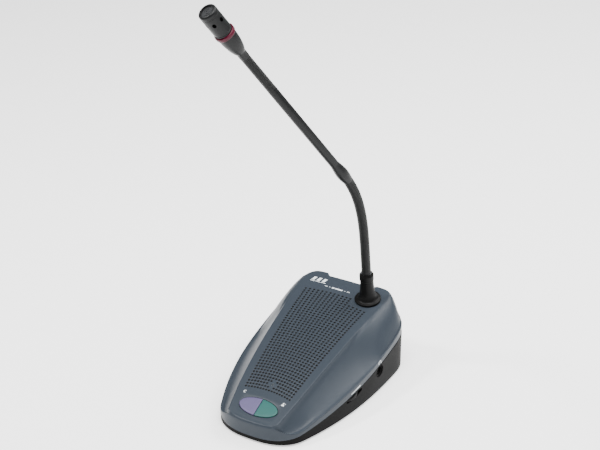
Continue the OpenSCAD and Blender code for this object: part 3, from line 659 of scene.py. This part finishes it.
levels = []
for q, z in ((0.7, FOOT), (0.4, FOOT + 0.08), (0.15, FOOT + 0.3), (0.0, FOOT + 0.7)):
    levels.append([(x, y, min(z, part_z(y) - 0.4)) for x, y in inset(q)])
for t in (0.12, 0.3, 0.5, 0.7, 0.88, 1.0):
    levels.append([(x, y, FOOT + 0.7 + (part_z(y) - 0.8 - FOOT) * t) for x, y in inset(0.0)])
levels.append([(x, y, part_z(y) - 0.1) for x, y in inset(2.4)])
levels.append([(x, y, min(FOOT + 2.4, part_z(y) - 0.2)) for x, y in inset(2.5)])
n = len(loop)
tv = [p for lv in levels for p in lv]
tf = [tuple(range(n - 1, -1, -1))]
for lv in range(len(levels) - 1):
    o = lv * n
    tf += [(o + k, o + (k + 1) % n, o + n + (k + 1) % n, o + n + k) for k in range(n)]
tf.append(tuple(range((len(levels) - 1) * n, len(levels) * n)))
tray = mesh("tray", tv, tf, M["tray"], crease=30)

# slot of the thumbwheel, recess of the headphone socket, the two sockets at the back, and the screw wells
WHEEL_Y, WHEEL_R = -10.0, 14.0
WHEEL_X = side_w(WHEEL_Y) + 1 - WHEEL_R
P_TILT = math.atan2(PART_R - PART_F, Y1 - Y0)
WHEEL = frame_at((WHEEL_X, WHEEL_Y, part_z(WHEEL_Y) - 3.0), rot_x(P_TILT))
SLOT_A, SLOT_B = 11.6, 2.3
slot = []
for k in range(24):
    a = 2 * math.pi * k / 24
    slot.append((SLOT_A * math.copysign(abs(math.cos(a)) ** 0.9, math.cos(a)),
                 SLOT_B * math.copysign(abs(math.sin(a)) ** 0.8, math.sin(a))))
sv, sf = prism(slot, 0, 30)
sv = [(z, x, y) for x, y, z in sv]
slot_cut = mesh("slot cut", place([(x + 3, y, z) for x, y, z in sv], WHEEL), sf, M["gap"])
JACK_Y, JACK_Z = 32.0, 22.4
JACK = frame_at((side_w(JACK_Y), JACK_Y, JACK_Z), np.array([[0, 0, 1], [0, 1, 0], [-1, 0, 0]], float))
jv, jf = lathe([(0, -8), (5.3, -8), (5.3, -1.0), (6.0, 0.1), (6.0, 4), (0, 4)], 48)
jack_cut = mesh("jack cut", place(jv, JACK), jf, M["gap"])
cutters = [slot_cut, jack_cut]
for sx in (-12, 12):
    v, f = box_points(sx - 5.9, sx + 5.9, 84, 100, 11.6, 20.0)
    cutters.append(mesh("socket cut", v, f, M["gap"]))
for bx, by in ((-29, -68), (29, -68), (-50, 60), (50, 60)):
    seat, top = part_z(by) - 4, part_z(by) + 2
    v, f = lathe([(0, -1), (3.2, -1), (3.2, seat), (1.55, seat), (1.55, top), (0, top)], 32)
    cutters.append(mesh("screw cut", place(v, frame_at((bx, by, 0), np.eye(3))), f, M["gap"]))
cut(tray, cutters)
tray.data.polygons.foreach_set("use_smooth", [True] * len(tray.data.polygons))
tray.data.set_sharp_from_angle(angle=math.radians(30))
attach(tray, "base")
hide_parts("bottom_tray")

# ---------------------------------------------------------------- buttons
def half_cap(side, look):
    """Half of the oval, 0.5 mm inside the well and 0.3 mm from the middle, with a low dome on top."""
    a, b, s = BA - 0.5, BB - 0.5, 0.3
    pts = []
    t0 = math.acos(s / a)
    for k in range(49):
        t = -t0 + 2 * t0 * k / 48
        pts.append((a * math.cos(t), b * math.sin(t)))
    top = pts[-1][1]
    for k in range(1, 12):
        pts.append((s, top - 2 * top * k / 12))
    c = np.array([a * 0.44, 0.0])
    pts = np.array(pts)
    vs, rings = [], []

    def dome(x, y):
        return 0.55 - 0.25 * (x / a) ** 2 - 0.3 * (y / b) ** 2 * 0.6

    # each ring's distance inwards, its height, and what that is counted from:
    # 0 the panel, 1 half a millimetre under the dome, 2 the dome itself
    for shrink, dz, use in ((0.0, -3.0, 0), (0.0, 0.05, 0), (0.12, 0.32, 1), (0.35, 0.44, 1), (0.7, 0.5, 1),
                            (2.2, 0.0, 2), (4.2, 0.0, 2)):
        row = []
        for p in pts:
            d = p - c
            r = np.linalg.norm(d)
            q = c + d * (r - shrink) / r
            z = dz if use == 0 else dome(*q) - (0.5 - dz if use == 1 else 0.0)
            row.append((side * q[0], q[1], z))
        rings.append(row)
    n = len(pts)
    for row in rings:
        vs += row
    vs.append((side * c[0], c[1], dome(*c)))
    fs = []
    for lv in range(len(rings) - 1):
        o = lv * n
        fs += [(o + k, o + (k + 1) % n, o + n + (k + 1) % n, o + n + k) for k in range(n)]
    o = (len(rings) - 1) * n
    fs += [(o + k, o + (k + 1) % n, len(vs) - 1) for k in range(n)]
    fs.append(tuple(range(n)))
    return mesh("button cap", place(vs, BUTTON), fs, look, crease=50)


talk = half_cap(1, M["teal"])
talk.name = "talk_cap"
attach(talk, "talk_key")
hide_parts("talk_button")
priority = half_cap(-1, M["purple"])
priority.name = "priority_cap"
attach(priority, "priority_key")
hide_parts("priority_button")


# ---------------------------------------------------------------- marks on the panel
INK_LIFT, INK_THICK, BAND_LIFT = 0.06, 0.1, 0.08


def on_panel(x, y):
    return frame_at((x, y, panel(x, y)), rot_x(panel_tilt(y)))


def mark(name, polys, m):
    """Flat ink on the panel: convex outlines in the frame m, a little proud of it."""
    v, f = join([prism(p, INK_LIFT - INK_THICK, INK_LIFT) for p in polys])
    ob = mesh(name, place(v, m), f, M["ink"])
    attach(ob, "base")


def arc(r0, r1, a0, a1, n=20):
    """A bent strip about the origin, as small quads, so that each is convex."""
    out = []
    for k in range(n):
        t0, t1 = math.radians(a0 + (a1 - a0) * k / n), math.radians(a0 + (a1 - a0) * (k + 1) / n)
        out.append([(r * math.cos(t), r * math.sin(t)) for r, t in ((r1, t0), (r1, t1), (r0, t1), (r0, t0))])
    return out


def rect(x0, x1, y0, y1, slant=0.0):
    return [(x0, y0), (x1, y0), (x1 + slant, y1), (x0 + slant, y1)]


mark("priority mark", arc(0.85, 1.35, 35, 325), on_panel(-20.3, -68.6))
dot = np.linspace(0, 2 * math.pi, 16, endpoint=False)
talker = [[(0.75 * math.cos(t), 1.25 + 0.75 * math.sin(t)) for t in dot],
          [(-1.5, -1.5), (1.5, -1.5), (1.2, -0.2), (0.5, 0.3), (-0.5, 0.3), (-1.2, -0.2)],
          rect(1.7, 2.1, 0.6, 1.9)]
mark("talk mark", talker, on_panel(19.8, -69.6))
for k in range(3):
    bar = [rect(-2.8, 2.8, -3.9, -3.2), rect(-2.4, 0.6, -2.2, 3.0, 1.1)]
    mark(f"plain badge {k + 1}", bar, on_panel(-34.2 + 5.6 * k, 81.6))
dashes = [rect(x0, x1, -0.3, 0.3) for x0, x1 in ((-13.5, -10.5), (-8.8, -7.4), (7.4, 8.8), (10.5, 13.5))]
dashes += [rect(-5.8, -3.4, -0.9, 0.9, 0.3), rect(-2.6, 5.6, -0.75, 0.75, 0.3)]
mark("dashes", dashes, on_panel(-5.6, 74.7))

# lens of the indicator in the middle of the plain diamond
led_hole = [hole_at(r, 0) for r in range(ROWS) if abs(hole_at(r, 0)[1] - LED_Y) < PITCH / 2][0]
lens_prof = [(0, -1.6), (0.92, -1.6), (0.92, -0.35), (0.7, -0.18), (0.4, -0.08), (0, -0.05)]
lens_ob = lathed("indicator lens", lens_prof, on_panel(*led_hole), M["led_dark"], 24)
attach(lens_ob, "base")


# ---------------------------------------------------------------- side controls
def wheel_mesh():
    """The thumbwheel, with a groove at every fourth of its n steps round the rim."""
    prof = [(-1.6, 12.6), (-1.6, 13.3), (-1.2, 13.75), (0, 13.95), (1.2, 13.75), (1.6, 13.3), (1.6, 12.6)]
    n, rim, groove = 240, 13.0, 0.28
    vs, fs = [], []
    for z, r in prof:
        for k in range(n):
            rr = r - (groove if r > rim and k % 4 == 0 else 0.0)
            a = 2 * math.pi * k / n
            vs.append((rr * math.cos(a), rr * math.sin(a), z))
    for i in range(len(prof) - 1):
        o = i * n
        fs += [(o + k, o + (k + 1) % n, o + n + (k + 1) % n, o + n + k) for k in range(n)]
    fs.append(tuple(range(n - 1, -1, -1)))
    fs.append(tuple(range((len(prof) - 1) * n, len(prof) * n)))
    ob = mesh("thumbwheel", place(vs, WHEEL), fs, M["black"], crease=25)
    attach(ob, "volume_dial")
    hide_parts("volume_wheel")


wheel_mesh()


def side_mark(name, polys, y, z):
    """A mark on the upright band of the cover's right side. Its x runs towards the back, its y up."""
    vs, fs = [], []
    for p in polys:
        o = len(vs)
        for d in (BAND_LIFT, -INK_THICK):
            for px, pz in p:
                vs.append((side_w(y + px) + d, y + px, z + pz))
        n = len(p)
        fs.append(tuple(range(o, o + n)))
        fs += [(o + k, o + n + k, o + n + (k + 1) % n, o + (k + 1) % n) for k in range(n)]
    ob = mesh(name, vs, fs, M["ink"])
    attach(ob, "base")


# a wedge that widens towards the back, in short lengths that follow the curved band
wedge = []
for k in range(9):
    a, b = -9 + 1.5 * k, -7.5 + 1.5 * k
    low = [(q, -2.0 + (q + 9) * 0.178) for q in (a, b)]
    wedge.append(low + [(q, -1.6 + (q + 9) * 0.24) for q in (b, a)])
side_mark("volume mark", wedge, -6.0, part_z(-6) + 2.3)
phones = arc(1.5, 2.0, 0, 180, 14) + [rect(-2.4, -1.3, -1.8, 0.2), rect(1.3, 2.4, -1.8, 0.2)]
side_mark("headphone mark", phones, 32.0, part_z(32) + 3.2)

collar_prof = [(4.02, -7.5), (4.02, -3.4), (4.5, -2.4), (4.55, -1.1), (5.2, -0.9), (5.24, -1.2), (5.24, -7.5)]
collar = lathed("jack collar", collar_prof, JACK, M["black"], 48)
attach(collar, "base")
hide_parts("jack_collar")
ribs, RIBS = [], 14
for k in range(RIBS):
    a = 2 * math.pi * k / RIBS
    v, f = box_points(5.2, 6.2, -0.36, 0.36, -1.4, 0.25)
    ribs.append((place(v, frame_at((0, 0, 0), rot_z(a))), f))
v, f = join(ribs)
rib_ob = mesh("jack ribs", place(v, JACK), f, M["tray"])
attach(rib_ob, "base")


# ---------------------------------------------------------------- the neck's frames, from the joints
def joint_pos(name):
    """Where a joint is, in millimetres."""
    return np.array(JOINTS[name]["pos_m"], float) * 1000


J = [joint_pos(f"lower_{'pitch' if k % 2 == 0 else 'side'}_{k // 2 + 1}") for k in range(9)]
K = [joint_pos(f"upper_{'pitch' if k % 2 == 0 else 'side'}_{k // 2 + 1}") for k in range(5)]
X = np.array(JOINTS["lower_pitch_1"]["axis"], float)


def unit(v):
    return np.array(v, float) / np.linalg.norm(v)


N0 = unit(J[1] - J[0])
T = unit(K[4] - K[0])


def axes(direction):
    """A frame with Z along direction and X across the neck."""
    z = unit(direction)
    y = unit(np.cross(z, X))
    return np.stack([X, y, z], 1)


# frames at the foot of the neck, at the last lower hinge, where the tube starts, and at the last upper hinge
FIRST_HINGE = 33.0
FOOT_F = frame_at(J[0] - FIRST_HINGE * N0, axes(N0))
TUBE = frame_at(J[8], axes(T))
HEAD = frame_at(K[4], axes(T))

boot = [(0, -0.4), (12.3, -0.7), (12.5, -0.2), (12.5, 1.0), (12.2, 1.5), (11.7, 1.7)]
for k in range(13):
    t = math.radians(90 * k / 12)
    boot.append((6.95 + 4.5 * (1 - math.sin(t)), 1.8 + 10.0 * (1 - math.cos(t))))
boot += [(6.7, 14), (6.5, 17), (6.35, 20), (6.3, 22.9), (6.5, 23.1), (6.72, 23.4), (6.75, 26.0), (6.72, 28.9),
         (6.4, 29.3), (5.6, 30.7), (5.3, 31.0), (5.0, 31.0), (5.0, 28)]
boot_ob = lathed("boot", boot, FOOT_F, M["black"], 72, crease=28)
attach(boot_ob, "base")
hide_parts("neck_boot")


# ---------------------------------------------------------------- flexible parts, wound strip
PER = 40


def spline(points, tangents):
    """Cubic Hermite through the points, as dense points, PER from each to the next, and arc length."""
    out = []
    for a, b, ta, tb in zip(points, points[1:], tangents, tangents[1:]):
        d = np.linalg.norm(b - a)
        for k in range(PER):
            t = k / PER
            ha, hta = 2 * t ** 3 - 3 * t ** 2 + 1, t ** 3 - 2 * t ** 2 + t
            hb, htb = -2 * t ** 3 + 3 * t ** 2, t ** 3 - t ** 2
            out.append(ha * a + hta * ta * d + hb * b + htb * tb * d)
    out.append(points[-1])
    out = np.array(out)
    return out, arclen(out)


def ribbed(name, points, tangents, radius, pitch, rib, cuts, nodes):
    """A tube of wound strip along a curve, cut at the arc lengths in cuts. Piece k hides the CAD nodes in
    nodes[k]. A groove rib deep runs round it once in each pitch."""
    curve, s = spline(points, tangents)
    n, reach = 36, 0.4

    def at(length):
        return np.array([np.interp(length, s, curve[:, d]) for d in range(3)])

    for k in range(len(cuts) - 1):
        a, b = cuts[k], cuts[k + 1]
        steps = max(2, int(round((b - a) / (pitch / 6))))
        vs, fs = [], []
        for st in [a + (b - a) * i / steps for i in range(steps + 1)]:
            c = at(st)
            turn = axes(at(min(st + reach, s[-1])) - at(max(st - reach, 0)))
            for q in range(n):
                ang = 2 * math.pi * q / n
                phase = (st / pitch + q / n) % 1.0
                groove = max(0.0, 1 - abs(phase - 0.5) / 0.26) ** 0.7
                r = radius - rib * groove
                vs.append(c + turn @ np.array([r * math.cos(ang), r * math.sin(ang), 0.0]))
        for i in range(steps):
            o = i * n
            fs += [(o + q, o + (q + 1) % n, o + n + (q + 1) % n, o + n + q) for q in range(n)]
        ob = mesh(f"{name} {k + 1}", vs, fs, M["flex"], crease=60)
        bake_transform(ob)
        if nodes[k]:
            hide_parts(*nodes[k])


# The curves run through the middles between hinges, and are cut there.
low_pts = [J[0] - 3.0 * N0] + [(a + b) / 2 for a, b in zip(J, J[1:])] + [J[8] + 4.0 * T]
low_tan = [N0] + [unit(b - a) for a, b in zip(J, J[1:])] + [T]
_, s_low = spline(low_pts, low_tan)
low_nodes = [[f"neck_link_{i}"] for i in range(1, 9)] + [[]]
ribbed("lower flex", low_pts, low_tan, radius=4.5, pitch=1.5, rib=0.26, cuts=s_low[::PER],
       nodes=low_nodes)
up_pts = [K[0] - 2.2 * T] + [(a + b) / 2 for a, b in zip(K, K[1:])] + [K[4] + 2.0 * T]
up_tan = [T] * len(up_pts)
_, s_up = spline(up_pts, up_tan)
up_nodes = [[f"head_link_{i}"] for i in range(1, 5)] + [[]]
ribbed("upper flex", up_pts, up_tan, radius=4.0, pitch=1.3, rib=0.22, cuts=s_up[::PER],
       nodes=up_nodes)

# ---------------------------------------------------------------- rigid part, TL long from hinge to hinge
TL = float(np.linalg.norm(K[0] - J[8]))
coupler = [(4.35, 0.6), (4.4, 2.6)]
for k in range(33):
    t = k / 32
    coupler.append((4.65 - 0.57 * t + 1.15 * math.sin(math.pi * t ** 0.85) ** 1.3, 3.0 + 24.5 * t))
coupler += [(4.02, 27.7)]
ob = lathed("coupler", coupler, TUBE, M["neck"], 48, crease=30)
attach(ob, "mast")
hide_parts("neck_coupler")
tube = [(4.05, 26.0), (4.05, TL - 2.6), (3.9, TL - 2.2), (3.3, TL - 2.2)]
ob = lathed("tube", tube, TUBE, M["neck"], 48)
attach(ob, "mast")
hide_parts("neck_tube")

# ---------------------------------------------------------------- head
# Heights along the head's own axis, from its hinge: the ring, the housing from HZ to END, the grille at GZ.
RING_Z, RING_H, HEAD_R, RING_R, END = 30.0, 3.6, 7.95, 8.9, 59.0
CONE_R, CONE_Z = 4.5, 8.0
HZ, GZ = RING_Z + RING_H, END - 1.5
cone = [(3.3, 0.2), (4.1, 0.2), (4.2, 0.8), (4.2, 7.0), (4.35, 7.6)]
for k in range(25):
    t = math.radians(90 * k / 24)
    rise = 0.5 * (1 - math.cos(t)) + t / math.pi
    cone.append((CONE_R + (HEAD_R - CONE_R) * math.sin(t), CONE_Z + (RING_Z - CONE_Z) * rise))
cone += [(HEAD_R - 0.1, RING_Z), (6.5, RING_Z)]
ob = lathed("head cone", cone, HEAD, M["neck"], 64)
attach(ob, "head")
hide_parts("head_cone")
half_ring = [(6.7, 0.02), (RING_R - 0.5, 0.02), (RING_R - 0.12, 0.2), (RING_R, 0.6)]
ring_prof = [(r, RING_Z + z) for r, z in half_ring] + [(r, HZ - z) for r, z in half_ring[::-1]]
ob = lathed("light ring", ring_prof, HEAD, M["ring"], 72, crease=50)
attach(ob, "head")
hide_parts("light_ring")
house = [(6.8, HZ), (HEAD_R - 0.3, HZ), (HEAD_R, HZ + 0.3)]
house += [(HEAD_R, HZ + 1.5), (HEAD_R - 0.25, HZ + 1.7), (HEAD_R - 0.25, HZ + 2.1), (HEAD_R, HZ + 2.3)]
house += [(HEAD_R, END - 4.8), (HEAD_R - 0.12, END - 4.65), (HEAD_R - 0.12, END - 4.4), (HEAD_R, END - 4.25)]
house += [(HEAD_R, END - 1.9)]
for k in range(9):
    t = math.radians(90 * k / 8)
    house.append((HEAD_R - 1.8 + 1.8 * math.cos(t), END - 1.8 + 1.8 * math.sin(t)))
house += [(5.75, END), (5.6, END - 0.2), (5.55, END - 2.4)]
ob = lathed("capsule housing", house, HEAD, M["neck"], 64, crease=30)
# six ovals of painted shade that stand for vent openings: near-black patches that lie on the housing, each as
# rings of n points about its middle
VENT_W, VENT_H, VENT_Z = 1.6, 2.0, HZ + 14.5
slots, n, skin = [], 24, HEAD_R + 0.03
for k in range(6):
    middle = math.radians(30 + 60 * k)
    v, f = [], []
    for share in (0.02, 0.35, 0.7, 1.0):
        for t in np.linspace(0, 2 * math.pi, n, endpoint=False):
            a = middle + VENT_W * share * math.cos(t) / HEAD_R
            v.append((skin * math.cos(a), skin * math.sin(a), VENT_Z + VENT_H * share * math.sin(t)))
    for i in range(3):
        for j in range(n):
            f.append((i * n + j, i * n + n + j, i * n + n + (j + 1) % n, i * n + (j + 1) % n))
    f.append(tuple(range(n)))
    slots.append((v, f))
v, f = join(slots)
vent = mesh("vent_shade_ovals", place(v, HEAD), f, M["void"])
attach(vent, "head")
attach(ob, "head")
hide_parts("capsule_housing")
grille = [(0, GZ)]
for r0, r1 in ((1.3, 1.8), (3.1, 3.6), (4.8, 5.2)):
    grille += [(r0 - 0.1, GZ), (r0, GZ + 0.35), (r1, GZ + 0.35), (r1 + 0.1, GZ)]
gv, gf = lathe(grille + [(5.7, GZ)], 48)
ob = mesh("end grille", place(gv, HEAD), gf, M["mesh"])
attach(ob, "head")
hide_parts("capsule_grille")

# ---------------------------------------------------------------- floor, lights, camera
HALF = 2200
v, f = [(-HALF, -HALF, 0), (HALF, -HALF, 0), (HALF, HALF, 0), (-HALF, HALF, 0)], [(0, 1, 2, 3)]
floor_m = material("floor", (0.85, 0.85, 0.85, 1.0), 0.75, 0.03, 0.05, 300, 0.01, specular=0.2,
                   emission=(1.0, 1.0, 1.0, 1.0), strength=0.85)
floor = mesh("floor", v, f, floor_m)

world = bpy.data.worlds.new("studio")
bpy.context.scene.world = world
world.use_nodes = True
world.node_tree.nodes["Background"].inputs["Color"].default_value = (1.0, 1.0, 1.0, 1.0)
world.node_tree.nodes["Background"].inputs["Strength"].default_value = 0.36


def area(name, loc, target, size, power):
    """A rectangular lamp at loc that faces target, both in metres."""
    light = bpy.data.lights.new(name, "AREA")
    light.shape = "RECTANGLE"
    light.size, light.size_y = size
    light.energy = power
    ob = bpy.data.objects.new(name, light)
    bpy.context.scene.collection.objects.link(ob)
    z = unit(np.array(loc, float) - np.array(target, float))
    x = unit(np.cross([0, 0, 1], z))
    ob.matrix_world = Matrix(frame_at(loc, np.stack([x, np.cross(z, x), z], 1)).tolist())


area("key", (0.2, -0.3, 1.5), (0, 0, 0.05), (1.0, 0.9), 44)
area("side", (1.15, 0.75, 1.35), (0, 0, 0.1), (1.1, 1.1), 26)
area("crease", (-0.84, -0.55, 1.3), (0, -0.09, 0.02), (0.2, 0.25), 20)
area("sheen", (0.34, 1.05, 1.25), (0.03, 0.02, 0.04), (0.9, 0.75), 20)

# The camera that the photo was fitted with: azimuth, elevation, focal length in pixels, distance in mm, and
# the pixel at which the point X = Y = Z = 0 is seen in a picture of WIDE x HIGH.
A, E, F_PX, DIST, TX, TY = math.radians(30.1), math.radians(27.7), 1500.0, 1400.3, 303.04, 388.57
WIDE, HIGH, SENSOR = 600, 450, 36.0
right_v = np.array([math.cos(A), math.sin(A), 0])
up_v = np.array([-math.sin(A) * math.sin(E), math.cos(A) * math.sin(E), math.cos(E)])
fwd = np.array([-math.sin(A) * math.cos(E), math.cos(A) * math.cos(E), -math.sin(E)])
ox, oy = (TX - WIDE / 2) / F_PX * DIST, -(TY - HIGH / 2) / F_PX * DIST
cam_loc = -(ox * right_v + oy * up_v + DIST * fwd) / 1000
cam_data = bpy.data.cameras.new("camera")
cam_data.lens = SENSOR * F_PX / WIDE
cam_data.sensor_width = SENSOR
cam = bpy.data.objects.new("camera", cam_data)
bpy.context.scene.collection.objects.link(cam)
cam.location = tuple(cam_loc)
cam.rotation_euler = (math.pi / 2 - E, 0, A)
bpy.context.scene.camera = cam

bpy.context.view_layer.update()
